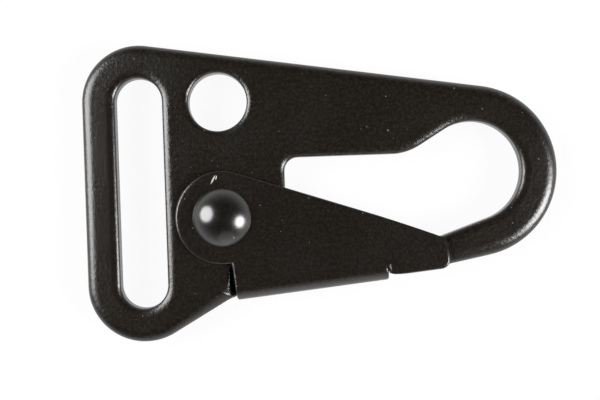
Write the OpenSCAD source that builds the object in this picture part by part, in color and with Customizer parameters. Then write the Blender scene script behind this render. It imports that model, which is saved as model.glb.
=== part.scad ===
// Flat spring-gate snap hook for webbing: a blanked steel plate with a strap slot, a cord hole
// and a round bowl, and a folded sheet gate that turns on a rivet and is closed by a wire spring.
// The origin is the cord hole's centre, half way through the plate. X runs from the strap slot
// to the bowl, Y along the strap slot, Z through the plate, with the rivet's dome on +Z.

/* [Plate] */
// Thickness of the plate
plate_t = 2.6; // [2.4:0.1:3.4]
// Rounding of the plate's outer edges
outer_edge_r = 1.15; // [0.4:0.05:1.15]
// Rounding of the edges of the slot, the hole, the throat and the bowl
inner_edge_r = 0.45; // [0.2:0.05:0.6]

/* [Strap end] */
// Length of the slot that the webbing goes through
slot_l = 32.3; // [26:0.1:38]
// Width of the slot, across the webbing's thickness
slot_w = 6.6; // [5:0.1:8]
// Width of metal around the slot
slot_rim = 4.7; // [3.6:0.1:6]
// Distance from the cord hole to the slot's middle line
slot_x = 11.1; // [10:0.05:14]
// Height of the slot's upper end centre above the cord hole
slot_top_y = 0.4; // [-1:0.05:2]
// Diameter of the cord hole
cord_hole_d = 8.2; // [5:0.1:8.6]

/* [Bowl] */
// Inner diameter of the bowl
bowl_d = 14; // [12:0.1:15]
// Width of metal around the bowl
bowl_rim = 5.1; // [4.4:0.1:6]
// Distance from the cord hole to the bowl's centre, along the hook
bowl_x = 35.3; // [34:0.05:38]
// Distance of the bowl's centre below the cord hole
bowl_drop = 10.9; // [10:0.05:12]

/* [Throat] */
// Distance of the throat's roof below the cord hole
throat_drop = 8.1; // [7:0.05:9]
// Distance from the cord hole to the throat's back edge
throat_x = 9.05; // [8.8:0.05:9.6]
// Corner radius at the back of the throat
throat_r = 1.9; // [1:0.1:2.4]
// Distance from the cord hole to where the throat's roof starts to rise
rise_x = 24.3; // [23:0.05:26]
// Radius of the bend where the roof starts to rise
rise_r = 7.5; // [5:0.1:9]

/* [Tip] */
// Radius of the hook's tip, which lies between the gate's walls
tip_r = 1.6; // [1.5:0.05:1.8]
// Distance from the rivet's axis to the tip's centre, along the gate's fold
tip_reach = 24.6; // [24.2:0.1:26]
// Depth of the tip's centre inside the fold's outer face
tip_inset = 2.1; // [1.9:0.05:2.6]

/* [Rivet] */
// Distance from the cord hole to the rivet's axis, along the hook
pivot_x = 0.2; // [-0.4:0.05:0.6]
// Distance of the rivet's axis below the cord hole
pivot_drop = 16.2; // [15.6:0.05:17]
// Diameter of the rivet's shank
shank_d = 4.8; // [4:0.1:5]
// Diameter of the rivet's heads
head_d = 8.1; // [7:0.1:9.5]
// Height of the domed front head
dome_h = 2; // [1.2:0.1:3]
// Height of the low head that is formed at the back
back_head_h = 1.2; // [0.6:0.1:2]

/* [Gate] */
// Thickness of the gate's sheet
sheet_t = 0.8; // [0.6:0.05:1]
// Clearance between each of the gate's walls and the plate
wall_gap = 0.1; // [0.05:0.05:0.2]
// Radius of the round ears
ear_r = 6.5; // [5.6:0.1:7]
// Slope of the gate's top edge below the X axis
top_slope = 18.6; // [16:0.1:21]
// Distance from the rivet's axis to the fold's outer face
fold_depth = 11.8; // [11.4:0.05:12.4]
// Slope of the fold above the X axis
fold_tilt = 5.8; // [5:0.1:6.6]
// Outer radius of the fold's bends
bend_r = 1.3; // [1.05:0.05:1.6]
// Distance along the fold from the rivet's axis to the fold's near end
fold_start = 0.4; // [0.2:0.05:1]
// Distance along the fold from the rivet's axis to the fold's far end
fold_end = 21.8; // [19:0.1:22]
// Distance along the fold from the rivet's axis to the nose
nose_reach = 30.6; // [29:0.1:33]
// Distance of the nose's lower edge inside the fold's outer face
nose_trim = 0.6; // [0.4:0.05:0.9]
// Radius of the nose's lower corner
nose_r = 1.3; // [0.5:0.1:1.8]
// Gap between the fold's near end and the plate's shoulder, which stops the closed gate
stop_gap = 0.4; // [0.2:0.05:0.7]
// Angle that the gate opens through until the plate's foot stops it
open_angle = 30; // [26:0.5:32]

/* [Spring] */
// Diameter of the spring's wire
wire_d = 0.75; // [0.6:0.05:0.75]
// Clearance between the rivet's shank and the coil
coil_gap = 0.3; // [0.2:0.05:0.4]
// Clearance between the coil and its seat in the plate
seat_gap = 0.15; // [0.1:0.05:0.3]
// Slope of the fixed leg above the X axis
fixed_leg_tilt = 8; // [4:0.5:11]
// Length of the fixed leg, from the rivet's axis
fixed_leg_l = 7.6; // [6:0.1:8.2]
// Slope of the moving leg below the X axis, with the gate closed
moving_leg_tilt = 31; // [28:0.5:34]
// Length of the moving leg's foot, which lies along the fold
leg_foot = 3; // [1.5:0.5:4]

/* [Hidden] */
$fn = 96;

// Largest steps along a wide arc and a small one, and the radius that parts them
wide_step = 6;
small_step = 18;
small_r = 3;
// Overlap of the rims with the plate's core, and its share of a corner's inner radius
join = 0.6;
join_share = 0.8;
// Least radius that the plate's core keeps at a corner
core_r = 0.08;
// Rounding of the plate's hidden edges and of its tip
hidden_edge_r = 0.25;
tip_edge_r = 0.9;
// Length by which a cutter passes a face
past = 1;
// Clearance between touching parts of the spring, the plate and the gate
touch = 0.05;
// Clearance between the rivet's shank and the holes in the gate's ears
shank_fit = 0.02;
// Clearance between the plate's foot and the fold that turns round it
foot_gap = 0.25;
// Room below the moving leg
leg_room = 0.25;
// Radius of the plate's corner beside the fold's near end
heel_r = 0.5;
// Radius of the notch above that corner, and how far the notch reaches under the ear
root_r = 1.5;
notch_lap = 0.1;
// Angle of the curve between the foot's near corner and its flat
foot_curve = 2;
// Radii of the small hidden corners of the plate
toe_r = 0.6;
lip_r = 0.5;
mouth_r = 0.35;
// Radius that the wire's middle line is bent to where a leg leaves the coil
leg_bend_r = 0.9;
// Radius that the moving leg's foot is bent to
foot_bend_r = 1.5;

pivot = [pivot_x, -pivot_drop];
slot_r = slot_w / 2;
strap_r = slot_r + slot_rim;
slot_top = [-slot_x, slot_top_y];
slot_low = [-slot_x, slot_top_y - (slot_l - slot_w)];
hole_r = cord_hole_d / 2;
bowl = [bowl_x, -bowl_drop];
bowl_r = bowl_d / 2;
shank_r = shank_d / 2;
head_r = head_d / 2;
wall_in = plate_t / 2 + wall_gap;
wall_out = wall_in + sheet_t;
fold_in = fold_depth - sheet_t;
bend_in_r = bend_r - sheet_t;
bend_v = fold_depth - bend_r;
wire_r = wire_d / 2;
coil_r = shank_r + coil_gap + wire_r;
seat_r = coil_r + wire_r + seat_gap;
foot_r = fold_in - foot_gap;
// Height of the plane of each leg above and below the plate's middle
leg_z = wall_in - wire_r - touch;

function at(list, i) = list[(i + len(list)) % len(list)];
function heading(v) = atan2(v.y, v.x);
function turned(a) = [cos(a), sin(a)];

// Points in the closed gate's own frame: u along the fold and v down towards it
function gate_point(u, v) = pivot + u * turned(fold_tilt) + v * turned(fold_tilt - 90);

// Point a given depth from a line through the rivet's axis and a given depth from another
function corner_point(angle_a, depth_a, angle_b, depth_b) =
    let (
        na = turned(angle_a),
        nb = turned(angle_b),
        det = na.x * nb.y - na.y * nb.x
    )
    pivot + [depth_a * nb.y - depth_b * na.y, depth_b * na.x - depth_a * nb.x] / det;

// Point at a given distance from the rivet's axis and a given depth from a line through it
function edge_point(reach, normal, depth) =
    pivot + depth * turned(normal)
        + sqrt(reach * reach - depth * depth) * turned(normal + (normal < 0 ? 90 : -90));

shoulder_u = fold_start - stop_gap;
heel = gate_point(shoulder_u - heel_r, fold_depth - heel_r);
root = gate_point(shoulder_u + root_r, ear_r + root_r - notch_lap);
ankle = pivot + (foot_r - toe_r) * turned(fold_tilt - 90 + open_angle - foot_curve);
leg_normal = -moving_leg_tilt - 90;
toe = corner_point(
    leg_normal, wire_r + leg_room + toe_r,
    fold_tilt + open_angle - 90, foot_r - toe_r
);
mouth_low = edge_point(seat_r + mouth_r, leg_normal, wire_r + leg_room + mouth_r);
mouth_top = edge_point(seat_r + mouth_r, fixed_leg_tilt + 90, wire_r + touch + mouth_r);
lip_x = throat_x - lip_r;
lip = [
    lip_x,
    pivot.y + (wire_r + touch + lip_r) / cos(fixed_leg_tilt)
        + (lip_x - pivot.x) * tan(fixed_leg_tilt)
];
tip = gate_point(tip_reach, fold_depth - tip_inset);

// The outline is a belt round circles, counter-clockwise with the metal on its left.
// Each entry is a centre, a radius that is negative where the metal lies outside the circle,
// and the edge rounding of that arc, which fades into the next one along the straight between.
outline = [
    [slot_low, strap_r, outer_edge_r],
    [heel, heel_r, outer_edge_r],
    [root, -root_r, hidden_edge_r],
    [ankle, toe_r, hidden_edge_r],
    [pivot, foot_r, hidden_edge_r],
    [toe, toe_r, hidden_edge_r],
    [mouth_low, mouth_r, hidden_edge_r],
    [pivot, -seat_r, hidden_edge_r],
    [mouth_top, mouth_r, hidden_edge_r],
    [lip, lip_r, hidden_edge_r],
    [[throat_x + throat_r, -throat_drop - throat_r], -throat_r, inner_edge_r],
    [[rise_x, rise_r - throat_drop], rise_r, inner_edge_r],
    [bowl, -bowl_r, inner_edge_r],
    [tip, tip_r, tip_edge_r],
    [bowl, bowl_r + bowl_rim, outer_edge_r],
    [slot_top, strap_r, outer_edge_r]
];
slot_outline = [
    [slot_top, -slot_r, inner_edge_r],
    [slot_low, -slot_r, inner_edge_r]
];

// Direction that the straight stretch between two circles of a belt faces, away from the metal
function facing(a, b) =
    let (gap = b[0] - a[0])
    heading(gap) - acos(min(1, max(-1, (a[1] - b[1]) / norm(gap))));

// Angle that the belt turns through on a circle, positive round metal and negative round a gap
function turn(list, i) =
    let (
        entry = at(list, i),
        change = facing(entry, at(list, i + 1)) - facing(at(list, i - 1), entry)
    )
    entry[1] > 0 ? (change % 360 + 360) % 360 : -((-change % 360 + 360) % 360);

// Stations along a belt. Each is a point on the edge, the flat core's point behind it, the point
// that the rim reaches to inside the core, and the edge rounding. At a corner that is sharper than
// its rounding, the core keeps its least radius and the rounding runs out to the corner.
function stations(list) = [
    for (i = [0 : len(list) - 1])
        let (
            c = at(list, i),
            start = facing(at(list, i - 1), c),
            sweep = turn(list, i),
            step = abs(c[1]) > small_r ? wide_step : small_step,
            count = max(1, ceil(abs(sweep) / step)),
            lack = c[1] > 0 ? max(0, core_r + c[2] - c[1]) : 0,
            back = lack > 0 ? lack / cos(sweep / 2) * turned(start + sweep / 2) : [0, 0],
            inner_r = c[1] - c[2] + lack,
            reach = c[1] > 0 ? min(join, join_share * inner_r) : join
        )
        for (k = [0 : count])
            let (n = turned(start + sweep * k / count))
            [
                c[0] + c[1] * n,
                c[0] - back + inner_r * n,
                c[0] - back + (inner_r - reach) * n,
                c[2]
            ]
];

// Section of the rim at one station, from the upper face round the edge to the lower one
function rim_section(s, quarter = 4) =
    let (
        half = plate_t / 2,
        rounding = [
            for (k = [0 : quarter])
                let (
                    a = 90 * k / quarter,
                    p = s[0] + (1 - sin(a)) * (s[1] - s[0])
                )
                [p.x, p.y, half - s[3] * (1 - cos(a))]
        ]
    )
    concat(
        rounding,
        [for (k = [quarter : -1 : 0]) [rounding[k].x, rounding[k].y, -rounding[k].z]],
        [[s[2].x, s[2].y, 0]]
    );

// Rounded rim all the way round a belt
module rim(stations) {
    sections = [for (s = stations) rim_section(s)];
    rows = len(sections);
    sides = len(sections[0]);
    polyhedron(
        [for (ring = sections) for (p = ring) p],
        [
            for (i = [0 : rows - 1])
                for (k = [0 : sides - 1])
                    let (
                        row = i * sides,
                        ahead = (i + 1) % rows * sides,
                        next = (k + 1) % sides
                    )
                    for (half = [0, 1])
                        half == 0
                            ? [row + k, ahead + k, row + next]
                            : [ahead + k, ahead + next, row + next]
        ]
    );
}

module hole_rim() {
    half = plate_t / 2;
    rotate_extrude() {
        polygon([
            [hole_r + inner_edge_r, half],
            [hole_r + inner_edge_r + join, 0],
            [hole_r + inner_edge_r, -half]
        ]);
        translate([hole_r, inner_edge_r - half])
            square([inner_edge_r, plate_t - 2 * inner_edge_r]);
        for (side = [-1, 1])
            intersection() {
                translate([hole_r + inner_edge_r, side * (half - inner_edge_r)])
                    circle(inner_edge_r);
                translate([hole_r, -half])
                    square([inner_edge_r, plate_t]);
            }
    }
}

module hook_plate() {
    edge = stations(outline);
    slot_edge = stations(slot_outline);
    color("#26241e") {
        linear_extrude(plate_t, center = true)
            difference() {
                polygon([for (s = edge) s[1]]);
                polygon([for (s = slot_edge) s[1]]);
                circle(hole_r + inner_edge_r);
            }
        rim(edge);
        rim(slot_edge);
        hole_rim();
    }
}

// Flat of one of the gate's walls, in the gate's own frame with the fold towards negative y
module wall_shape() {
    nose_v = fold_depth - nose_trim;
    slope = -top_slope - fold_tilt;
    rise = ear_r / cos(slope);
    top_x = ear_r * sin(-slope);
    difference() {
        union() {
            circle(ear_r);
            polygon([
                [fold_start, -bend_v],
                [fold_end, -bend_v],
                [fold_end, -nose_v],
                [nose_reach - nose_r, -nose_v],
                [nose_reach, nose_r - nose_v],
                [nose_reach, rise + nose_reach * tan(slope)],
                [top_x, ear_r * cos(slope)],
                [fold_start, 0]
            ]);
            translate([nose_reach - nose_r, nose_r - nose_v])
                circle(nose_r);
        }
        circle(shank_r + shank_fit);
    }
}

// Section across the fold, with its outer face at y = -fold_depth
module fold_section() {
    half = wall_out - bend_r;
    difference() {
        union() {
            translate([-half, -fold_depth])
                square([2 * half, bend_r]);
            for (side = [-1, 1])
                translate([side * half, -bend_v])
                    circle(bend_r);
        }
        translate([-half, -fold_in])
            square([2 * half, fold_in]);
        for (side = [-1, 1])
            translate([side * half, -bend_v])
                circle(bend_in_r);
        translate([-2 * wall_out, -bend_v])
            square([4 * wall_out, 2 * bend_r]);
    }
}

module gate() {
    color("#2a2823")
        translate([pivot.x, pivot.y, 0])
            rotate(fold_tilt) {
                for (side = [0, 1])
                    mirror([0, 0, side])
                        translate([0, 0, wall_in])
                            linear_extrude(sheet_t)
                                wall_shape();
                translate([fold_start, 0, 0])
                    rotate([90, 0, 90])
                        linear_extrude(fold_end - fold_start)
                            rotate(-90)
                                fold_section();
            }
}

// Cap of a sphere, standing on z = 0
module head(h) {
    ball_r = (head_r * head_r + h * h) / (2 * h);
    rotate_extrude()
        intersection() {
            translate([0, h - ball_r])
                circle(ball_r);
            square([head_r + past, h + past]);
        }
}

module rivet() {
    color("#1f1d19")
        translate([pivot.x, pivot.y, 0]) {
            translate([0, 0, -wall_out])
                cylinder(r = shank_r, h = 2 * wall_out);
            translate([0, 0, wall_out])
                head(dome_h);
            mirror([0, 0, 1])
                translate([0, 0, wall_out])
                    head(back_head_h);
        }
}

// Points along an arc that climbs evenly from one height to another
function arc_path(centre, r, start, sweep, low, high, step) =
    let (count = ceil(abs(sweep) / step))
    [
        for (k = [0 : count])
            let (p = centre + r * turned(start + sweep * k / count))
            [p.x, p.y, low + (high - low) * k / count]
    ];

// Middle line of the spring's wire, from the fixed leg's end round the coil to the moving foot
wrap = asin(leg_bend_r / (coil_r + leg_bend_r));
coil_start = fixed_leg_tilt + wrap;
coil_end = 720 - moving_leg_tilt - wrap;
foot_v = fold_in - wire_r - touch;
knee_l = foot_v / sin(fold_tilt + moving_leg_tilt);
knee_turn = fold_tilt + moving_leg_tilt;
knee_back = foot_bend_r * tan(knee_turn / 2);
knee_at = (knee_l - knee_back) * turned(-moving_leg_tilt)
    + foot_bend_r * turned(90 - moving_leg_tilt);
foot_at = knee_l * turned(-moving_leg_tilt) + (knee_back + leg_foot) * turned(fold_tilt);
fixed_at = fixed_leg_l * turned(fixed_leg_tilt);
coil = arc_path([0, 0], coil_r, coil_start, coil_end - coil_start, -leg_z, leg_z, 12);
wire_path = concat(
    [[fixed_at.x, fixed_at.y, -leg_z]],
    arc_path(
        (coil_r + leg_bend_r) * turned(coil_start), leg_bend_r,
        fixed_leg_tilt - 90, wrap - 90, -leg_z, -leg_z, 16
    ),
    [for (k = [1 : len(coil) - 2]) coil[k]],
    arc_path(
        (coil_r + leg_bend_r) * turned(coil_end), leg_bend_r,
        coil_end + 180, wrap - 90, leg_z, leg_z, 16
    ),
    arc_path(knee_at, foot_bend_r, -moving_leg_tilt - 90, knee_turn, leg_z, leg_z, 12),
    [[foot_at.x, foot_at.y, leg_z]]
);

// Round wire along a path
module wire(path, r, sides) {
    last = len(path) - 1;
    rings = [
        for (i = [0 : last])
            let (
                ahead = path[min(last, i + 1)] - path[max(0, i - 1)],
                t = ahead / norm(ahead),
                side = [t.y, -t.x, 0] / norm([t.y, -t.x]),
                up = cross(side, t)
            )
            for (k = [0 : sides - 1])
                path[i] + r * (cos(360 * k / sides) * side + sin(360 * k / sides) * up)
    ];
    skin = [
        for (i = [0 : last - 1])
            for (k = [0 : sides - 1])
                let (next = (k + 1) % sides)
                [i * sides + k, i * sides + next, (i + 1) * sides + next, (i + 1) * sides + k]
    ];
    polyhedron(
        rings,
        concat(
            [[for (k = [0 : sides - 1]) sides - 1 - k]],
            skin,
            [[for (k = [0 : sides - 1]) last * sides + k]]
        )
    );
}

module gate_spring() {
    color("#6b6a66")
        translate([pivot.x, pivot.y, 0])
            wire(wire_path, wire_r, 8);
}

hook_plate();
gate();
rivet();
gate_spring();
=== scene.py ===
"""A flat snap hook of black-oxide steel for webbing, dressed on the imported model.

Sizes are in millimetres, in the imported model's frame: the origin is the cord hole's centre, X runs
from the strap slot to the bowl and Z through the plate. Meshes are made in metres.
"""

import logging
import math
from dataclasses import astuple, dataclass
from enum import Enum
from typing import Iterable, Sequence

import bmesh
import bpy
from mathutils import Matrix, Vector


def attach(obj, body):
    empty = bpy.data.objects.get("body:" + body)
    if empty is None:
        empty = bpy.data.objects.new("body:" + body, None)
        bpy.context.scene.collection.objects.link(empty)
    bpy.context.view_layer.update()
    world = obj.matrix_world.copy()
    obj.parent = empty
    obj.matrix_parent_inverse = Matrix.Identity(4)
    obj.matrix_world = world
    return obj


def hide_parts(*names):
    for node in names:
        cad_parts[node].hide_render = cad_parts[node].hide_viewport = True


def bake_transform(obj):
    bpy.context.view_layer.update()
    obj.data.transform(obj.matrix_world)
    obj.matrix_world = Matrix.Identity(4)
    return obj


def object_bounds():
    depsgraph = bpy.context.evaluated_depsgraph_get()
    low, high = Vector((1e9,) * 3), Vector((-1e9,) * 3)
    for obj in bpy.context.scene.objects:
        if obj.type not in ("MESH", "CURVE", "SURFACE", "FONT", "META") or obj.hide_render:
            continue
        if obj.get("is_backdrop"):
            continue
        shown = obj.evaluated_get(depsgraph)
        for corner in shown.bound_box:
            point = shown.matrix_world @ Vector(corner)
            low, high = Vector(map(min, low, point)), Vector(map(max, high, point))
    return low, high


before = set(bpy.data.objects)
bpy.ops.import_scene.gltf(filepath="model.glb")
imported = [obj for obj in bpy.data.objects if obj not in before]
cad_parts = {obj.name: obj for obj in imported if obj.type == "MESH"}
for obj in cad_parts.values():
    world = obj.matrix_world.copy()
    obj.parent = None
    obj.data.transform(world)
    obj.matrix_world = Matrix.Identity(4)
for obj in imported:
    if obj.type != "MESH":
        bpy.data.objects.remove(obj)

LOG = logging.getLogger("snap_hook")
MM = 0.001
# Vertices that lie nearer than this, in metres, are one and the same.
SAME_POINT = 1e-7
# Faces that meet at more than this angle, in degrees, have an edge that tumbling rounds.
SHARP_ANGLE = 40.0


class Body(Enum):
    """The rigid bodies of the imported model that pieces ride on."""

    HOOK = "hook"
    GATE_ARM = "gate_arm"


class Slot(Enum):
    """The record's material slots."""

    PLATE = "plate_black"
    GATE = "gate_black"
    RIVET = "rivet_black"
    SPRING = "spring_wire"


def linear(hex_colour: str) -> tuple[float, float, float, float]:
    """Turns an sRGB hex colour into Blender's linear colour.

    Args:
        hex_colour: Six hex digits, with or without a leading #.

    Returns:
        The linear red, green, blue and an alpha of 1.
    """
    digits = hex_colour.lstrip("#")
    channels = [int(digits[i : i + 2], 16) / 255 for i in (0, 2, 4)]
    steps = [c / 12.92 if c <= 0.04045 else ((c + 0.055) / 1.055) ** 2.4 for c in channels]
    return (steps[0], steps[1], steps[2], 1.0)


def turned(degrees: float) -> Vector:
    """The unit vector in the plate's plane that points along an angle from X."""
    return Vector((math.cos(math.radians(degrees)), math.sin(math.radians(degrees))))


def heading(vector: Vector) -> float:
    """The angle of a plane vector from X, in degrees."""
    return math.degrees(math.atan2(vector.y, vector.x))


def arc_points(
    centre: Vector, radius: float, start: float, sweep: float, step: float
) -> list[Vector]:
    """Points along an arc, both ends included.

    Args:
        centre: The arc's centre.
        radius: The arc's radius.
        start: The angle of the first point, in degrees.
        sweep: The angle that the arc turns through, negative for clockwise.
        step: The largest angle between two points.

    Returns:
        The points, in order.
    """
    count = max(1, math.ceil(abs(sweep) / step))
    return [centre + radius * turned(start + sweep * k / count) for k in range(count + 1)]


@dataclass(frozen=True)
class Edge:
    """A rounded edge: how far it reaches over the flat face and down the side, and how full it is.

    A fullness of 1 is a flat chamfer and 2 an ellipse.
    """

    inset: float
    drop: float
    full: float = 2.6


@dataclass(frozen=True)
class Round:
    """A circle that an outline wraps round. A negative radius lies outside the metal."""

    centre: Vector
    radius: float
    edge: Edge


@dataclass(frozen=True)
class Station:
    """A point on an outline, the flat face's point behind it and the edge rounding there."""

    point: Vector
    core: Vector
    edge: Edge


@dataclass(frozen=True)
class Belt:
    """A closed outline of arcs and the straights between them, with the metal on its left."""

    rounds: Sequence[Round]
    # Largest angle between stations on a wide round and on one no larger than the small radius.
    wide_step: float = 4.0
    small_step: float = 12.0
    small: float = 3.0
    # Radius that the flat face keeps at a corner sharper than its rounding.
    least_core: float = 0.08
    # Stations along a straight where the rounding changes, and how late the change comes.
    fade_steps: int = 12
    fade_power: float = 1.3

    def facing(self, i: int) -> float:
        """The angle that the straight after a round faces, away from the metal.

        Args:
            i: The round's index, taken round the belt.

        Returns:
            The angle from X, in degrees.
        """
        one = self.rounds[i % len(self.rounds)]
        other = self.rounds[(i + 1) % len(self.rounds)]
        gap = other.centre - one.centre
        lean = (one.radius - other.radius) / gap.length
        return heading(gap) - math.degrees(math.acos(min(1.0, max(-1.0, lean))))

    def stations(self) -> list[Station]:
        """Works out the stations all the way round.

        At a corner that is sharper than its rounding, the flat face keeps a small corner of its
        own and the rounding runs out to the sharp one.

        Returns:
            The stations in order, with the first one repeated at the end.
        """
        found = []
        for i, at in enumerate(self.rounds):
            start = self.facing(i - 1)
            change = self.facing(i) - start
            sweep = change % 360 if at.radius > 0 else -(-change % 360)
            step = self.wide_step if abs(at.radius) > self.small else self.small_step
            count = max(1, math.ceil(abs(sweep) / step))
            inner = at.radius - at.edge.inset
            lack = max(0.0, self.least_core - inner) if at.radius > 0 else 0.0
            back = turned(start + sweep / 2) * lack
            if lack > 0:
                back /= math.cos(math.radians(sweep / 2))
            for k in range(count + 1):
                facing = turned(start + sweep * k / count)
                core = at.centre - back + (inner + lack) * facing
                found.append(Station(at.centre + at.radius * facing, core, at.edge))
        pairs = zip(found, found[1:] + found[:1])
        return [station for pair in pairs for station in self.fade(*pair)] + [found[0]]

    def fade(self, one: Station, other: Station) -> list[Station]:
        """Fills the way to the next station where the rounding changes between the two.

        Args:
            one: The station to start from.
            other: The next station.

        Returns:
            The first station and those between the two.
        """
        if one.edge == other.edge:
            return [one]
        along = (other.point - one.point).normalized()
        outward = Vector((along.y, -along.x))
        change = Vector(astuple(other.edge)) - Vector(astuple(one.edge))
        found = [one]
        for k in range(1, self.fade_steps):
            t = k / self.fade_steps
            share = t**self.fade_power if change.x > 0 else 1 - (1 - t) ** self.fade_power
            edge = Edge(*(Vector(astuple(one.edge)) + share * change))
            core = one.core.lerp(other.core, t) + outward * (t - share) * change.x
            found.append(Station(one.point.lerp(other.point, t), core, edge))
        return found


def add_row(
    bm: bmesh.types.BMesh, points: Iterable[Vector], closed: bool
) -> list[bmesh.types.BMVert]:
    """Adds the first cross-section of a loft.

    Args:
        bm: The mesh to add to.
        points: The section's points, in metres.
        closed: Whether the section is a ring.

    Returns:
        The section's vertices, in order.
    """
    row = [bm.verts.new(point) for point in points]
    for pair in zip(row, row[1:] + (row[:1] if closed else [])):
        bm.edges.new(pair)
    return row


def extrude_row(
    bm: bmesh.types.BMesh, row: list[bmesh.types.BMVert], points: Iterable[Vector], closed: bool
) -> list[bmesh.types.BMVert]:
    """Extrudes a cross-section and moves the new one into place.

    Args:
        bm: The mesh that holds the row.
        row: The vertices of the section to extrude, in order.
        points: Where the new section's vertices go, in metres.
        closed: Whether the section is a ring.

    Returns:
        The new section's vertices, in order.
    """
    pairs = zip(row, row[1:] + (row[:1] if closed else []))
    edges = [bm.edges.get(pair) for pair in pairs]
    made = bmesh.ops.extrude_edge_only(bm, edges=edges)["geom"]
    fresh = {v for v in made if isinstance(v, bmesh.types.BMVert)}
    follow = [next(e.other_vert(v) for e in v.link_edges if e.other_vert(v) in fresh) for v in row]
    for vert, point in zip(follow, points):
        vert.co = point
    return follow


def to_object(bm: bmesh.types.BMesh, name: str, smooth: bool = True) -> bpy.types.Object:
    """Turns a finished bmesh into an object at the origin.

    Args:
        bm: The mesh, in metres. It is freed.
        name: The piece's name.
        smooth: Whether its faces are shaded smooth.

    Returns:
        The new object, linked to the scene.
    """
    for face in bm.faces:
        face.smooth = smooth
    mesh = bpy.data.meshes.new(name)
    bm.to_mesh(mesh)
    bm.free()
    piece = bpy.data.objects.new(name, mesh)
    bpy.context.scene.collection.objects.link(piece)
    return piece


def even_normals(piece: bpy.types.Object) -> None:
    """Keeps flat faces flat in the shading beside their rounded edges.

    Args:
        piece: The object that gets the modifier.
    """
    modifier = piece.modifiers.new("Even normals", "WEIGHTED_NORMAL")
    modifier.keep_sharp = True


def ease_edges(
    piece: bpy.types.Object, segments: int, radius: float = 0.0, share: float = 0.0
) -> None:
    """Rounds the edges of a sheet or a turned piece, as tumbling does.

    Args:
        piece: The object that gets the modifier.
        segments: How many faces make up the rounding.
        radius: The rounding, in millimetres.
        share: The rounding as a share of the faces beside it, in percent. The radius counts only
            where this is 0.
    """
    modifier = piece.modifiers.new("Eased edges", "BEVEL")
    modifier.width = radius * MM
    modifier.segments = segments
    modifier.limit_method = "ANGLE"
    modifier.angle_limit = math.radians(SHARP_ANGLE)
    if share:
        modifier.offset_type = "PERCENT"
        modifier.width_pct = share


@dataclass(frozen=True)
class Nick:
    """A short stroke where the finish is knocked off, given by its middle and its tilt from X."""

    x: float
    y: float
    tilt: float
    length: float
    width: float


class Graph:
    """The node tree of a material or of the world, with one way to add a node."""

    def __init__(self, owner: bpy.types.Material | bpy.types.World) -> None:
        """Empties the owner's tree.

        Args:
            owner: The material or the world that the nodes belong to.
        """
        owner.use_nodes = True
        self.tree = owner.node_tree
        self.tree.nodes.clear()

    def add(
        self, kind: str, out: str | int = 0, settings: dict | None = None, **inputs: object
    ) -> bpy.types.NodeSocket | None:
        """Adds a node, sets it up and links it.

        Args:
            kind: The node's type name, without the ShaderNode before it.
            out: The name or the index of the output to go on from.
            settings: Properties of the node itself.
            **inputs: Values or sockets by input name, with spaces as underscores. A name that
                starts with i_ and a number picks the input by its index.

        Returns:
            The output's socket, or nothing where the node has no output.
        """
        node = self.tree.nodes.new("ShaderNode" + kind)
        for key, value in (settings or {}).items():
            setattr(node, key, value)
        for key, value in inputs.items():
            target = node.inputs[int(key[2:]) if key.startswith("i_") else key.replace("_", " ")]
            if isinstance(value, bpy.types.NodeSocket):
                self.tree.links.new(value, target)
            else:
                target.default_value = value
        return node.outputs[out] if len(node.outputs) else None


def per_metre(size_mm: float) -> float:
    """The noise scale whose cells are about a given size on Object coordinates in metres."""
    return 1 / (size_mm * MM)


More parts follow.
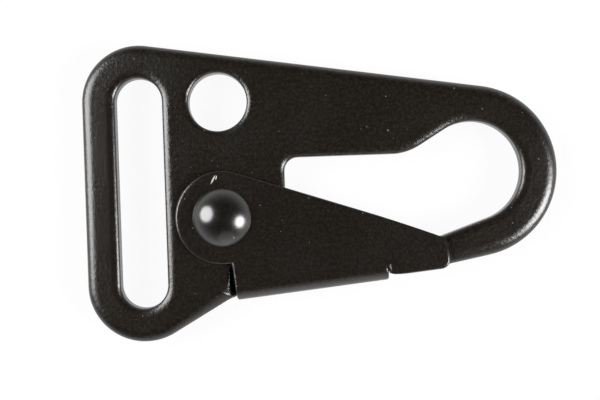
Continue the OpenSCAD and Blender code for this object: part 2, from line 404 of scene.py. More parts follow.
@dataclass(frozen=True)
class BlackOxide:
    """Steel blackened in a hot salt bath and oiled.

    The oxide is a thin magnetite layer, so it is not treated as bare metal. It gives the eye a
    deep brownish black under a satin sheen, clouded where the bath took unevenly, with a fine
    tumbled grain, light specks of dried salt and dust, and short hairline scratches. The real
    grain is too fine to show at this scale and is drawn several times coarser.
    """

    name: str
    brown: str
    olive: str
    pale: str
    roughness: float = 0.24
    index: float = 1.68
    # Clouds: their size, the noise that turns brown to olive, and what they do to the sheen.
    cloud_mm: float = 9.0
    tone_span: tuple[float, float] = (0.36, 0.64)
    sheen_span: tuple[float, float] = (0.3, 0.7)
    sheen_shift: tuple[float, float] = (-0.03, 0.04)
    # Grain: its size, how high it stands, and how much of the pale colour its tops show.
    grain_mm: float = 0.45
    grain_height_mm: float = 0.045
    grit_span: tuple[float, float] = (0.42, 0.75)
    grit_share: float = 0.7
    # Specks: their spacing, the share of places that hold one, the largest radius as a share of
    # the spacing, and how much fainter most of them are.
    speck_mm: float = 0.95
    speck_share: float = 0.6
    speck_radius: float = 0.13
    speck_fade: float = 1.5
    speck_colour: str = "#8a8478"
    # Hairlines: their spacing across, how far the pattern is squeezed along them, which draws
    # them out, the share of places that hold one, half the largest width as a share of the
    # spacing, and their directions.
    scratch_mm: float = 1.1
    scratch_squeeze: float = 0.12
    scratch_share: float = 0.14
    scratch_radius: float = 0.035
    scratch_tilts: tuple[float, ...] = (38.0, -63.0)
    scratch_colour: str = "#57524a"
    # Nicks: the share of the half length where one starts to fade and where it is gone.
    nick_fade: tuple[float, float] = (0.6, 1.2)
    nick_colour: str = "#cfcac0"
    nicks: tuple[Nick, ...] = ()

    def specks(self, g: Graph, place: bpy.types.NodeSocket) -> bpy.types.NodeSocket:
        """Scattered dots of dried salt and dust, some fainter than others.

        Args:
            g: The material's graph.
            place: The coordinates.

        Returns:
            The pattern's socket, up to 1 on a dot.
        """
        cells = {"Vector": place, "Scale": per_metre(self.speck_mm)}
        chance = g.add("TexVoronoi", "Color", **cells)
        rare = g.add("SeparateColor", 0, Color=chance)
        faint = g.add("SeparateColor", 1, Color=chance)
        size = g.add(
            "MapRange", Value=rare, From_Min=1 - self.speck_share, To_Max=self.speck_radius
        )
        near = g.add("TexVoronoi", "Distance", **cells)
        dot = g.add("Math", settings={"operation": "LESS_THAN"}, i_0=near, i_1=size)
        weight = g.add("Math", settings={"operation": "POWER"}, i_0=faint, i_1=self.speck_fade)
        return g.add("Math", settings={"operation": "MULTIPLY"}, i_0=dot, i_1=weight)

    def scratches(self, g: Graph, place: bpy.types.NodeSocket, tilt: float) -> bpy.types.NodeSocket:
        """Sparse hairlines in one direction.

        Args:
            g: The material's graph.
            place: The coordinates.
            tilt: The angle that the hairlines are turned by, in degrees.

        Returns:
            The pattern's socket, 1 on a hairline.
        """
        turn = g.add("Mapping", Vector=place, Rotation=(0, 0, math.radians(tilt)))
        squeeze = {"i_0": turn, "i_1": (self.scratch_squeeze, 1, 1)}
        long = g.add("VectorMath", settings={"operation": "MULTIPLY"}, **squeeze)
        cells = {"Vector": long, "Scale": per_metre(self.scratch_mm)}
        rare = g.add("SeparateColor", 0, Color=g.add("TexVoronoi", "Color", **cells))
        width = g.add(
            "MapRange", Value=rare, From_Min=1 - self.scratch_share, To_Max=self.scratch_radius
        )
        near = g.add("TexVoronoi", "Distance", **cells)
        return g.add("Math", settings={"operation": "LESS_THAN"}, i_0=near, i_1=width)

    def stroke(self, g: Graph, place: bpy.types.NodeSocket, nick: Nick) -> bpy.types.NodeSocket:
        """One nick on the upper side.

        Args:
            g: The material's graph.
            place: The coordinates.
            nick: Where it lies.

        Returns:
            The pattern's socket, 1 on the nick.
        """
        turn = g.add(
            "Mapping", settings={"vector_type": "TEXTURE"}, Vector=place,
            Location=(nick.x * MM, nick.y * MM, 0), Rotation=(0, 0, math.radians(nick.tilt)),
            Scale=(nick.length / 2 * MM, nick.width / 2 * MM, 1),
        )
        reach = g.add("VectorMath", settings={"operation": "MULTIPLY"}, i_0=turn, i_1=(1, 1, 0))
        far = g.add("VectorMath", "Value", {"operation": "LENGTH"}, i_0=reach)
        full, gone = self.nick_fade
        edge = g.add("MapRange", Value=far, From_Min=full, From_Max=gone, To_Min=1.0, To_Max=0.0)
        height = g.add("SeparateXYZ", "Z", Vector=place)
        above = g.add("Math", settings={"operation": "GREATER_THAN"}, i_0=height, i_1=0.0)
        return g.add("Math", settings={"operation": "MULTIPLY"}, i_0=edge, i_1=above)

    def make(self) -> bpy.types.Material:
        """Builds the node material.

        Returns:
            The finished material.
        """
        material = bpy.data.materials.new(self.name)
        g = Graph(material)
        place = g.add("TexCoord", "Object")
        cloud = g.add(
            "TexNoise", "Fac", Vector=place, Scale=per_metre(self.cloud_mm), Detail=4.0,
            Roughness=0.6,
        )
        grain = g.add(
            "TexNoise", "Fac", Vector=place, Scale=per_metre(self.grain_mm), Detail=3.0,
            Roughness=0.7,
        )
        tone = g.add(
            "MapRange", Value=cloud, From_Min=self.tone_span[0], From_Max=self.tone_span[1]
        )
        grit = g.add(
            "MapRange", Value=grain, From_Min=self.grit_span[0], From_Max=self.grit_span[1],
            To_Max=self.grit_share,
        )
        marks = [(tone, self.olive), (grit, self.pale), (self.specks(g, place), self.speck_colour)]
        marks += [(self.scratches(g, place, t), self.scratch_colour) for t in self.scratch_tilts]
        marks += [(self.stroke(g, place, nick), self.nick_colour) for nick in self.nicks]
        colour = linear(self.brown)
        for share, mark in marks:
            colour = g.add("Mix", 2, {"data_type": "RGBA"}, i_0=share, i_6=colour, i_7=linear(mark))
        sheen = g.add(
            "MapRange", Value=cloud, From_Min=self.sheen_span[0], From_Max=self.sheen_span[1],
            To_Min=self.roughness + self.sheen_shift[0],
            To_Max=self.roughness + self.sheen_shift[1],
        )
        bump = g.add(
            "Bump", "Normal", Strength=1.0, Distance=self.grain_height_mm * MM, Height=grain
        )
        surface = g.add(
            "BsdfPrincipled", "BSDF", Base_Color=colour, Metallic=0.0, IOR=self.index,
            Roughness=sheen, Normal=bump,
        )
        g.add("OutputMaterial", Surface=surface)
        return material


@dataclass(frozen=True)
class SpringSteel:
    """Drawn spring wire, bare and lightly oiled: a bright grey metal, dulled by the die in spots.

    It lies hidden between the gate's walls and shows only in slits.
    """

    name: str
    colour: str = "#8f8c86"
    roughness: float = 0.32
    # Size of the dulled spots, and what they do to the sheen.
    spot_mm: float = 0.2
    sheen_shift: tuple[float, float] = (-0.08, 0.1)

    def make(self) -> bpy.types.Material:
        """Builds the node material.

        Returns:
            The finished material.
        """
        material = bpy.data.materials.new(self.name)
        g = Graph(material)
        place = g.add("TexCoord", "Object")
        spots = g.add("TexNoise", "Fac", Vector=place, Scale=per_metre(self.spot_mm), Detail=3.0)
        sheen = g.add(
            "MapRange", Value=spots, To_Min=self.roughness + self.sheen_shift[0],
            To_Max=self.roughness + self.sheen_shift[1],
        )
        surface = g.add(
            "BsdfPrincipled", "BSDF", Base_Color=linear(self.colour), Metallic=1.0, Roughness=sheen
        )
        g.add("OutputMaterial", Surface=surface)
        return material


# The gate's ear is knocked bare in two short strokes above the rivet.
EAR_NICKS = (
    Nick(x=-0.85, y=-10.9, tilt=62.0, length=1.3, width=0.22),
    Nick(x=-0.4, y=-10.65, tilt=75.0, length=0.6, width=0.16),
)
PLATE_FINISH = BlackOxide(
    "black oxide on blanked plate", brown="#16110d", olive="#14110c", pale="#2c2823"
)
GATE_FINISH = BlackOxide(
    "black oxide on folded sheet", brown="#15100d", olive="#13100b", pale="#2a2621",
    nicks=EAR_NICKS,
)
# The dome is smoother and more oily than the sheet round it, so the lamps show in it as spots.
RIVET_FINISH = BlackOxide(
    "black oxide on rivet", brown="#14110f", olive="#13120f", pale="#262320", roughness=0.2,
    index=1.85, grain_height_mm=0.006,
)
WIRE_FINISH = SpringSteel("drawn spring steel")


@dataclass
class Pivot:
    """The rivet's axis, the gate's own frame and the sizes that the pieces round it share."""

    x: float = 0.2
    drop: float = 16.2
    # The fold: its tilt from X, how deep its underside lies, and how far the gate opens.
    fold_tilt: float = 5.8
    fold_depth: float = 11.8
    open_angle: float = 30.0
    # The spring's legs: the fixed one's rise from X and the moving one's fall.
    fixed_leg_tilt: float = 8.0
    moving_leg_tilt: float = 31.0

    @property
    def centre(self) -> Vector:
        """The axis in the plate's plane."""
        return Vector((self.x, -self.drop))

    def gate_point(self, u: float, v: float) -> Vector:
        """A point of the closed gate.

        Args:
            u: Distance from the axis along the fold.
            v: Distance from the axis down towards the fold.

        Returns:
            The point in the plate's frame.
        """
        return self.centre + u * turned(self.fold_tilt) + v * turned(self.fold_tilt - 90)

    def matrix(self) -> Matrix:
        """Takes the gate's frame, u along X and the fold towards -Y, to the plate's, in metres."""
        move = Matrix.Translation((self.x * MM, -self.drop * MM, 0))
        return move @ Matrix.Rotation(math.radians(self.fold_tilt), 4, "Z")


@dataclass
class HookPlate:
    """The blanked plate with its strap slot, cord hole, throat, bowl and tip."""

    pivot: Pivot
    thickness: float = 2.6
    # The tumbled roundings. Above the cord hole, the outer one and the hole's own have to leave
    # some flat between them, and so do those round the bowl.
    outer_edge: Edge = Edge(inset=1.65, drop=1.15, full=2.2)
    bowl_edge: Edge = Edge(inset=1.85, drop=1.2, full=2.0)
    inner_edge: Edge = Edge(inset=1.3, drop=0.62, full=2.2)
    hole_edge: Edge = Edge(inset=0.8, drop=0.45, full=2.0)
    hidden_edge: Edge = Edge(inset=0.25, drop=0.25)
    # The foot's rounding stays clear of the fold's inside when the gate is open.
    foot_edge: Edge = Edge(inset=0.5, drop=0.65, full=2.0)
    tip_edge: Edge = Edge(inset=1.2, drop=0.9)
    # The heel is knocked to an almost flat chamfer, which catches the light.
    heel_edge: Edge = Edge(inset=1.5, drop=0.95, full=1.3)
    # The strap end, the cord hole and the bowl.
    slot_length: float = 32.3
    slot_width: float = 6.6
    slot_rim: float = 4.7
    slot_x: float = 11.1
    slot_top_y: float = 0.4
    hole: float = 8.2
    bowl: float = 14.0
    bowl_rim: float = 5.1
    bowl_x: float = 35.3
    bowl_drop: float = 10.9
    # The throat and the tip.
    throat_drop: float = 8.1
    throat_x: float = 9.05
    throat_radius: float = 1.9
    rise_x: float = 24.3
    rise_radius: float = 7.5
    tip_radius: float = 1.6
    tip_reach: float = 24.6
    tip_inset: float = 2.1
    # The heel: how far it stays short of the fold's near end and above the fold's underside, how
    # far its lower half runs on, to keep the gap to the fold dark, and the least cosine to the
    # fold's direction at which an edge counts as the heel's end.
    heel_radius: float = 0.5
    heel_gap: float = 0.1
    heel_rise: float = 0.35
    heel_ledge: float = 0.5
    heel_facing: float = 0.5
    # The part between the gate's walls: the notch over the heel, the foot that the open gate
    # stops on, and the mouth and the seat of the spring, with the room beside each leg's middle.
    notch_radius: float = 1.5
    notch_top: float = 6.4
    foot_radius: float = 10.75
    foot_curve: float = 2.0
    toe_radius: float = 0.6
    mouth_radius: float = 0.35
    lip_radius: float = 0.5
    seat_radius: float = 3.6
    leg_edge: float = 0.425
    leg_room: float = 0.625
    # Faces over a rounded edge, and degrees between the stations round the cord hole.
    rounding_steps: int = 10
    hole_step: int = 4

    def _slot_ends(self) -> tuple[Vector, Vector]:
        """The centres of the strap slot's upper and lower ends."""
        top = Vector((-self.slot_x, self.slot_top_y))
        return top, top + Vector((0, self.slot_width - self.slot_length))

    def _beside_leg(self, reach: float, normal: float, depth: float) -> Vector:
        """Finds a point beside one of the spring's legs.

        Args:
            reach: Its distance from the rivet's axis.
            normal: The angle that the leg's side faces, in degrees.
            depth: Its distance from the leg's middle line.

        Returns:
            The point.
        """
        side = 90 if normal < 0 else -90
        along = math.sqrt(reach * reach - depth * depth)
        return self.pivot.centre + depth * turned(normal) + along * turned(normal + side)

    def _toe(self) -> Vector:
        """Finds where the foot's toe goes, between the open fold and the moving leg.

        Returns:
            The toe's centre.
        """
        normal_a = turned(-self.pivot.moving_leg_tilt - 90)
        depth_a = self.leg_room + self.toe_radius
        normal_b = turned(self.pivot.fold_tilt + self.pivot.open_angle - 90)
        depth_b = self.foot_radius - self.toe_radius
        det = normal_a.x * normal_b.y - normal_a.y * normal_b.x
        x = depth_a * normal_b.y - depth_b * normal_a.y
        y = depth_b * normal_a.x - depth_a * normal_b.x
        return self.pivot.centre + Vector((x, y)) / det

    def outline(self) -> Belt:
        """The plate's outer edge.

        Returns:
            The outline, counter-clockwise from the strap end's lower corner.
        """
        strap = self.slot_width / 2 + self.slot_rim
        top, low = self._slot_ends()
        bowl = Vector((self.bowl_x, -self.bowl_drop))
        fold_depth = self.pivot.fold_depth
        heel = self.pivot.gate_point(
            -self.heel_radius - self.heel_gap, fold_depth - self.heel_radius - self.heel_rise
        )
        notch = self.pivot.gate_point(self.notch_radius, self.notch_top + self.notch_radius)
        ankle_tilt = self.pivot.fold_tilt - 90 + self.pivot.open_angle - self.foot_curve
        ankle = self.pivot.centre + (self.foot_radius - self.toe_radius) * turned(ankle_tilt)
        mouth = self.seat_radius + self.mouth_radius
        mouth_low = self._beside_leg(
            mouth, -self.pivot.moving_leg_tilt - 90, self.leg_room + self.mouth_radius
        )
        mouth_top = self._beside_leg(
            mouth, self.pivot.fixed_leg_tilt + 90, self.leg_edge + self.mouth_radius
        )
        lip_x = self.throat_x - self.lip_radius
        tilt = math.radians(self.pivot.fixed_leg_tilt)
        lip_rise = (self.leg_edge + self.lip_radius) / math.cos(tilt)
        lip_rise += (lip_x - self.pivot.x) * math.tan(tilt)
        lip = Vector((lip_x, lip_rise - self.pivot.drop))
        back = Vector((self.throat_x + self.throat_radius, -self.throat_drop - self.throat_radius))
        rise = Vector((self.rise_x, self.rise_radius - self.throat_drop))
        tip = self.pivot.gate_point(self.tip_reach, fold_depth - self.tip_inset)
        hidden = self.hidden_edge
        return Belt(
            [
                Round(low, strap, self.outer_edge),
                Round(heel, self.heel_radius, self.heel_edge),
                Round(notch, -self.notch_radius, hidden),
                Round(ankle, self.toe_radius, self.foot_edge),
                Round(self.pivot.centre, self.foot_radius, self.foot_edge),
                Round(self._toe(), self.toe_radius, self.foot_edge),
                Round(mouth_low, self.mouth_radius, hidden),
                Round(self.pivot.centre, -self.seat_radius, hidden),
                Round(mouth_top, self.mouth_radius, hidden),
                Round(lip, self.lip_radius, hidden),
                Round(back, -self.throat_radius, self.inner_edge),
                Round(rise, self.rise_radius, self.inner_edge),
                Round(bowl, -self.bowl / 2, self.inner_edge),
                Round(tip, self.tip_radius, self.tip_edge),
                Round(bowl, self.bowl / 2 + self.bowl_rim, self.bowl_edge),
                Round(top, strap, self.outer_edge),
            ]
        )

    def openings(self) -> list[list[Station]]:
        """The edges of the strap slot and the cord hole.

        Returns:
            The stations round each opening.
        """
        ends = [Round(end, -self.slot_width / 2, self.inner_edge) for end in self._slot_ends()]
        edge = self.hole_edge
        radius = self.hole / 2
        hole = [
            Station(radius * turned(-a), (radius + edge.inset) * turned(-a), edge)
            for a in range(0, 360 + self.hole_step, self.hole_step)
        ]
        return [Belt(ends).stations(), hole]

    def section(self, station: Station) -> list[Vector]:
        """The rounded edge at one station, from the upper face to the lower one.

        Args:
            station: The place on the outline.

        Returns:
            The points, in metres.
        """
        half = self.thickness / 2
        ledge = self.ledge(station)
        upper, lower = [], []
        for k in range(self.rounding_steps + 1):
            angle = math.radians(90 * k / self.rounding_steps)
            at = station.core.lerp(station.point, math.sin(angle) ** (2 / station.edge.full))
            rise = max(0.0, math.cos(angle)) ** (2 / station.edge.full)
            height = half - station.edge.drop * (1 - rise)
            upper.append(Vector((at.x, at.y, height)) * MM)
            under = at + ledge * k / self.rounding_steps
            lower.append(Vector((under.x, under.y, -height)) * MM)
        return upper + lower[::-1]

    def ledge(self, station: Station) -> Vector:
        """How far the lower half of the heel's edge runs on under the gate's fold.

        Args:
            station: The place on the outline.

        Returns:
            The way that the edge is moved, none away from the heel.
        """
        along = turned(self.pivot.fold_tilt)
        reach = (station.point - self.pivot.centre).dot(along)
        depth = (station.point - self.pivot.centre).dot(turned(self.pivot.fold_tilt - 90))
        facing = (station.point - station.core).normalized()
        near = abs(reach) < self.heel_ledge and self.notch_top < depth < self.pivot.fold_depth
        return along * (self.heel_ledge if near and facing.dot(along) > self.heel_facing else 0.0)

    def build(self) -> bpy.types.Object:
        """Lofts the rounded edges and fills the two flat faces between them.

        Returns:
            The plate.
        """
        bm = bmesh.new()
        for stations in [self.outline().stations(), *self.openings()]:
            row = add_row(bm, self.section(stations[0]), closed=False)
            for station in stations[1:]:
                row = extrude_row(bm, row, self.section(station), closed=False)
        bmesh.ops.remove_doubles(bm, verts=bm.verts[:], dist=SAME_POINT)
        half = self.thickness / 2 * MM
        for face_z in (half, -half):
            rim = [
                e for e in bm.edges
                if e.is_boundary and all(abs(v.co.z - face_z) < SAME_POINT for v in e.verts)
            ]
            bmesh.ops.triangle_fill(bm, edges=rim, use_beauty=True)
        bmesh.ops.recalc_face_normals(bm, faces=bm.faces[:])
        piece = to_object(bm, "tumbled_plate")
        even_normals(piece)
        return piece

    def dress(self, piece: bpy.types.Object) -> None:
        """Gives the plate its finish and its place in the model.

        Args:
            piece: The plate.
        """
        piece.data.materials.append(PLATE_FINISH.make())
        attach(piece, Body.HOOK.value)
        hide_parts("hook_plate")


@dataclass
class Gate:
    """The sheet gate: two walls, round ears, a fold and a nose."""

    pivot: Pivot
    sheet: float = 0.8
    wall_inside: float = 1.4
    ear_radius: float = 6.5
    top_slope: float = 18.6
    # The fold: its bends' outer radius, where it starts and ends along the gate, and the width of
    # the cut that lets its end come free of the wall.
    bend_radius: float = 1.9
    fold_start: float = 0.5
    fold_end: float = 21.95
    relief: float = 0.06
    nose_reach: float = 30.6
    nose_trim: float = 0.6
    nose_radius: float = 1.3
    # The sheet's edges are eased over a share, in percent, of a rim of their own on the faces and
    # of the sheet's thickness.
    rim: float = 0.9
    eased_share: float = 38.0
    eased_steps: int = 6
    bend_steps: int = 12
    ear_step: float = 4.0
    nose_step: float = 10.0

    def wall(self) -> list[Vector]:
        """The outline of one wall, in the gate's own frame.

        Returns:
            The points, counter-clockwise from the fold's near end.
        """
        slope = -self.top_slope - self.pivot.fold_tilt
        normal = slope + 90
        nose_v = self.pivot.fold_depth - self.nose_trim
        bend_v = self.pivot.fold_depth - self.bend_radius
        rise = self.ear_radius / math.cos(math.radians(slope))
        nose_top = rise + self.nose_reach * math.tan(math.radians(slope))
        corner = Vector((self.nose_reach - self.nose_radius, self.nose_radius - nose_v))
        ear_end = math.degrees(math.asin(self.fold_start / self.ear_radius)) - 90
        points = [
            Vector((self.fold_start, -bend_v)),
            Vector((self.fold_end, -bend_v)),
            Vector((self.fold_end + self.relief, -bend_v)),
            Vector((self.fold_end + self.relief, -nose_v)),
        ]
        points += arc_points(corner, self.nose_radius, -90, 90, self.nose_step)
        points.append(Vector((self.nose_reach, nose_top)))
        ear_sweep = ear_end + 360 - normal
        points += arc_points(Vector((0, 0)), self.ear_radius, normal, ear_sweep, self.ear_step)
        return points

    def build(self) -> bpy.types.Object:
        """Folds the sheet's middle surface and gives it its thickness.

        Returns:
            The gate.
        """
        bm = bmesh.new()
        middle = self.wall_inside + self.sheet / 2
        bend_v = self.pivot.fold_depth - self.bend_radius
        bend_z = self.wall_inside + self.sheet - self.bend_radius
        faces = []
        for side in (1, -1):
            ring = [bm.verts.new((p.x, p.y, side * middle)) for p in self.wall()]
            faces.append(bm.faces.new(ring if side > 0 else list(reversed(ring))))
        hem = bm.edges.get(faces[0].verts[:2])
        for centre_z in (bend_z, -bend_z):
            bent = bmesh.ops.spin(
                bm, geom=[hem], cent=(0, -bend_v, centre_z), axis=(1, 0, 0),
                angle=math.radians(90), steps=self.bend_steps,
            )["geom_last"]
            hem = next(e for e in bent if isinstance(e, bmesh.types.BMEdge))
            if centre_z > 0:
                flat = bmesh.ops.extrude_edge_only(bm, edges=[hem])["geom"]
                moved = [v for v in flat if isinstance(v, bmesh.types.BMVert)]
                bmesh.ops.translate(bm, verts=moved, vec=(0, 0, -2 * bend_z))
                hem = bm.edges.get(moved)
        bmesh.ops.remove_doubles(bm, verts=bm.verts[:], dist=SAME_POINT / MM)
        bmesh.ops.recalc_face_normals(bm, faces=bm.faces[:])
        bmesh.ops.inset_region(
            bm, faces=bm.faces[:], thickness=self.rim, use_boundary=True, use_even_offset=True
        )
        bmesh.ops.scale(bm, verts=bm.verts[:], vec=(MM, MM, MM))
        bmesh.ops.transform(bm, matrix=self.pivot.matrix(), verts=bm.verts[:])
        piece = to_object(bm, "folded_gate")
        shell = piece.modifiers.new("Sheet", "SOLIDIFY")
        shell.thickness = self.sheet * MM
        shell.offset = 0
        shell.use_even_offset = True
        ease_edges(piece, self.eased_steps, share=self.eased_share)
        even_normals(piece)
        return piece

    def dress(self, piece: bpy.types.Object) -> None:
        """Gives the gate its finish and its place in the model.

        Args:
            piece: The gate.
        """
        piece.data.materials.append(GATE_FINISH.make())
        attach(piece, Body.GATE_ARM.value)
        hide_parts("gate")


@dataclass
class Rivet:
    """The pivot rivet, with a domed head in front and a low one at the back."""

    pivot: Pivot
    shank: float = 4.8
    head: float = 8.1
    dome: float = 2.0
    back: float = 1.2
    # Height of the heads' undersides, and of the straight brim below each dome.
    seat: float = 2.2
    brim: float = 0.12
    eased_radius: float = 0.1
    eased_steps: int = 3
    dome_step: float = 4.0
    steps: int = 96

    def cap(self, height: float, side: int) -> list[Vector]:
        """One head's profile, from the axis to its brim.

        Args:
            height: How far the head stands up.
            side: 1 for the front, -1 for the back.

        Returns:
            The points, with X as the radius.
        """
        radius = self.head / 2
        crown = height - self.brim
        ball = (radius * radius + crown * crown) / (2 * crown)
        half = math.degrees(math.asin(radius / ball))
        base = self.seat + self.brim + crown - ball
        curve = arc_points(Vector((0, base)), ball, 90, -half, self.dome_step)
        points = [Vector((p.x, 0, side * p.y)) for p in curve]
        points[0].x = 0
        points.append(Vector((radius, 0, side * self.seat)))
        return points

    def build(self) -> bpy.types.Object:
        """Turns the profile about the axis.

        Returns:
            The rivet.
        """
        bm = bmesh.new()
        neck = Vector((self.shank / 2, 0, self.seat))
        profile = self.cap(self.dome, 1) + [neck, Vector((neck.x, 0, -neck.z))]
        profile += list(reversed(self.cap(self.back, -1)))
        row = add_row(bm, [p * MM for p in profile], closed=False)
        edges = [bm.edges.get(pair) for pair in zip(row, row[1:])]
        bmesh.ops.spin(
            bm, geom=edges, cent=(0, 0, 0), axis=(0, 0, 1), angle=math.radians(360),
            steps=self.steps, use_merge=True,
        )
        bmesh.ops.remove_doubles(bm, verts=bm.verts[:], dist=SAME_POINT)
        bmesh.ops.recalc_face_normals(bm, faces=bm.faces[:])
        bmesh.ops.transform(bm, matrix=self.pivot.matrix(), verts=bm.verts[:])
        piece = to_object(bm, "domed_rivet")
        ease_edges(piece, self.eased_steps, radius=self.eased_radius)
        even_normals(piece)
        return piece

    def dress(self, piece: bpy.types.Object) -> None:
        """Gives the rivet its finish and its place in the model.

        Args:
            piece: The rivet.
        """
        piece.data.materials.append(RIVET_FINISH.make())
        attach(piece, Body.GATE_ARM.value)
        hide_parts("rivet")


@dataclass
class GateSpring:
    """The torsion spring round the rivet, between the gate's walls."""

    pivot: Pivot
    wire: float = 0.75
    # The coil's radius and the legs' height above and below the plate's middle, at mid-wire.
    coil: float = 3.075
    leg_height: float = 0.975
    fixed_length: float = 7.6
    # The moving leg's foot: its length, and how deep it lies below the axis.
    foot: float = 3.0
    foot_v: float = 10.575
    leg_bend: float = 0.9
    foot_bend: float = 1.5
    # How far inside the legs' height a twist between the two bodies would start and end.
    leg_hold: float = 0.02
    coil_step: float = 6.0
    leg_step: float = 10.0
    sides: int = 16

    def path(self) -> list[Vector]:
        """The wire's middle line, from the fixed leg's end to the moving foot, round the axis.

        Returns:
            The points, in millimetres.
        """
        fixed_tilt, moving_tilt = self.pivot.fixed_leg_tilt, self.pivot.moving_leg_tilt
        reach = self.coil + self.leg_bend
        wrap = math.degrees(math.asin(self.leg_bend / reach))
        start = fixed_tilt + wrap
        end = 720 - moving_tilt - wrap
        low, high = -self.leg_height, self.leg_height
        knee_turn = self.pivot.fold_tilt + moving_tilt
        knee = self.foot_v / math.sin(math.radians(knee_turn))
        back = self.foot_bend * math.tan(math.radians(knee_turn / 2))
        knee_at = (knee - back) * turned(-moving_tilt)
        knee_at += self.foot_bend * turned(90 - moving_tilt)
        foot_at = knee * turned(-moving_tilt)
        foot_at += (back + self.foot) * turned(self.pivot.fold_tilt)
        coil = arc_points(Vector((0, 0)), self.coil, start, end - start, self.coil_step)
        fixed = arc_points(
            reach * turned(start), self.leg_bend, fixed_tilt - 90, wrap - 90, self.leg_step
        )
        moving = arc_points(
            reach * turned(end), self.leg_bend, end + 180, wrap - 90, self.leg_step
        )
        moving += arc_points(knee_at, self.foot_bend, -moving_tilt - 90, knee_turn, self.coil_step)
        rise = (high - low) / (len(coil) - 1)
        flat = [(p, low) for p in [self.fixed_length * turned(fixed_tilt), *fixed]]
        flat += [(p, low + rise * k) for k, p in enumerate(coil[1:-1], start=1)]
        flat += [(p, high) for p in [*moving, foot_at]]
        return [Vector((p.x, p.y, z)) for p, z in flat]

    def build(self) -> bpy.types.Object:
        """Runs a round section along the wire's path.

        Returns:
            The spring.
        """
        path = self.path()
        shift = Vector((self.pivot.x, -self.pivot.drop, 0))
        bm = bmesh.new()
        row = None
        for i, at in enumerate(path):
            ahead = (path[min(i + 1, len(path) - 1)] - path[max(i - 1, 0)]).normalized()
            side = Vector((ahead.y, -ahead.x, 0)).normalized()
            up = side.cross(ahead)
            ring = []
            for k in range(self.sides):
                spoke = turned(360 * k / self.sides) * self.wire / 2
                ring.append((at + shift + spoke.x * side + spoke.y * up) * MM)
            if row is None:
                row = add_row(bm, ring, closed=True)
                first = list(row)
            else:
                row = extrude_row(bm, row, ring, closed=True)
        bm.faces.new(reversed(first))
        bm.faces.new(row)
        bmesh.ops.recalc_face_normals(bm, faces=bm.faces[:])
        piece = to_object(bm, "wound_spring")
        even_normals(piece)
        return piece

    def dress(self, piece: bpy.types.Object) -> None:
        """Gives the spring its finish, hides the imported one and keeps it on neither body.

        Args:
            piece: The spring.
        """
        piece.data.materials.append(WIRE_FINISH.make())
        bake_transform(piece)
        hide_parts("gate_spring")


@dataclass(frozen=True)
class Lamp:
    """A round soft box, given by the direction it stands in from the hook's middle."""

    name: str
    from_zenith: float
    bearing: float
    size: float
    watts: float
    distance: float = 300.0

    def build(self, target: Vector) -> None:
        """Adds the lamp.

        Args:
            target: What it points at, in metres.
        """
        data = bpy.data.lights.new(self.name, "AREA")
        data.shape = "DISK"
        data.size = self.size * MM
        data.energy = self.watts
        lamp = bpy.data.objects.new(self.name, data)
        bpy.context.scene.collection.objects.link(lamp)
        flat = turned(self.bearing) * math.sin(math.radians(self.from_zenith))
        way = Vector((flat.x, flat.y, math.cos(math.radians(self.from_zenith))))
        lamp.location = target + way * self.distance * MM
        lamp.rotation_euler = way.to_track_quat("Z", "Y").to_euler()


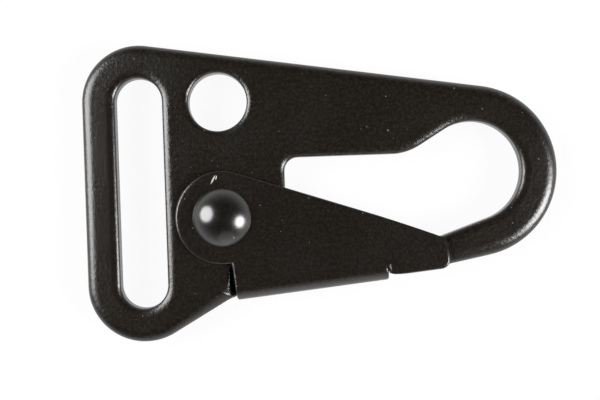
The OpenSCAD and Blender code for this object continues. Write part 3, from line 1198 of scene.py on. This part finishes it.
@dataclass
class Studio:
    """The white table, the lamps and the camera straight above."""

    # The camera: its height, the width it takes in at the plate's middle, where it looks, how far
    # it is turned, and the nearest that it sees.
    camera_height: float = 115.0
    view_width: float = 84.72
    view_x: float = 11.1
    view_y: float = -14.14
    view_turn: float = -2.0
    nearest: float = 5.0
    # The table: its side, its paper, and the share of what is seen of it that is lit and so shows
    # the shadow, while the rest glows white.
    table_size: float = 1200.0
    paper_colour: str = "#f2f2f2"
    shadow_share: float = 0.07
    # The walls' glow: its colour, the sine of the height where it ends, and how fast it fades.
    glow_colour: str = "#ffffff"
    glow_top: float = 0.7
    glow_fade: float = 1.5
    lamps: tuple[Lamp, ...] = (
        Lamp("left_soft_box", from_zenith=53.0, bearing=168.0, size=220.0, watts=1.0),
        Lamp("right_soft_box", from_zenith=55.0, bearing=-18.0, size=160.0, watts=1.0),
        Lamp("low_soft_box", from_zenith=66.0, bearing=-84.0, size=240.0, watts=0.05),
    )

    def paper(self) -> bpy.types.Material:
        """White paper that shows as the white of the background and keeps the shadow.

        Returns:
            The finished material.
        """
        material = bpy.data.materials.new("white paper")
        g = Graph(material)
        seen = g.add("LightPath", "Is Camera Ray")
        for ray in ("Is Glossy Ray", "Is Transmission Ray"):
            also = g.add("LightPath", ray)
            seen = g.add("Math", settings={"operation": "MAXIMUM"}, i_0=seen, i_1=also)
        matt = g.add("BsdfDiffuse", Color=linear(self.paper_colour))
        white = g.add("Emission", Color=(1, 1, 1, 1), Strength=1.0)
        both = g.add("MixShader", i_0=1 - self.shadow_share, i_1=matt, i_2=white)
        g.add("OutputMaterial", Surface=g.add("MixShader", i_0=seen, i_1=matt, i_2=both))
        return material

    def room(self) -> bpy.types.World:
        """A dark ceiling over white walls, whose light comes in low from all round.

        Returns:
            The world.
        """
        world = bpy.data.worlds.new("room")
        g = Graph(world)
        height = g.add("SeparateXYZ", "Z", Vector=g.add("TexCoord", "Generated"))
        low = g.add("MapRange", Value=height, From_Min=self.glow_top, From_Max=0.0)
        glow = g.add("Math", settings={"operation": "POWER"}, i_0=low, i_1=self.glow_fade)
        light = g.add("Background", Color=linear(self.glow_colour), Strength=glow)
        g.add("OutputWorld", Surface=light)
        return world

    def build(self) -> None:
        """Sets up the table, the world, the lamps and the camera."""
        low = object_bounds()[0][2]
        bm = bmesh.new()
        bmesh.ops.create_grid(bm, x_segments=1, y_segments=1, size=self.table_size / 2 * MM)
        bmesh.ops.translate(bm, verts=bm.verts[:], vec=(0, 0, low))
        table = to_object(bm, "table", smooth=False)
        table.data.materials.append(self.paper())
        table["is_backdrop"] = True
        bpy.context.scene.world = self.room()
        target = Vector((self.view_x, self.view_y, 0)) * MM
        for lamp in self.lamps:
            lamp.build(target)
        data = bpy.data.cameras.new("camera")
        data.sensor_fit = "HORIZONTAL"
        data.lens = data.sensor_width * self.camera_height / self.view_width
        data.clip_start = self.nearest * MM
        camera = bpy.data.objects.new("camera", data)
        bpy.context.scene.collection.objects.link(camera)
        camera.location = target + Vector((0, 0, self.camera_height * MM))
        camera.rotation_euler = (0, 0, math.radians(self.view_turn))
        bpy.context.scene.camera = camera
        bpy.context.scene.view_settings.view_transform = "Standard"


def main() -> None:
    """Builds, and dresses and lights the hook."""
    logging.basicConfig(level=logging.INFO, format="%(message)s")
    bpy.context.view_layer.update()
    pivot = Pivot()
    for part in (HookPlate(pivot), Gate(pivot), Rivet(pivot), GateSpring(pivot)):
        piece = part.build()
        part.dress(piece)
        LOG.info("%s: %d vertices", piece.name, len(piece.data.vertices))
    Studio().build()


if __name__ == "__main__":
    main()
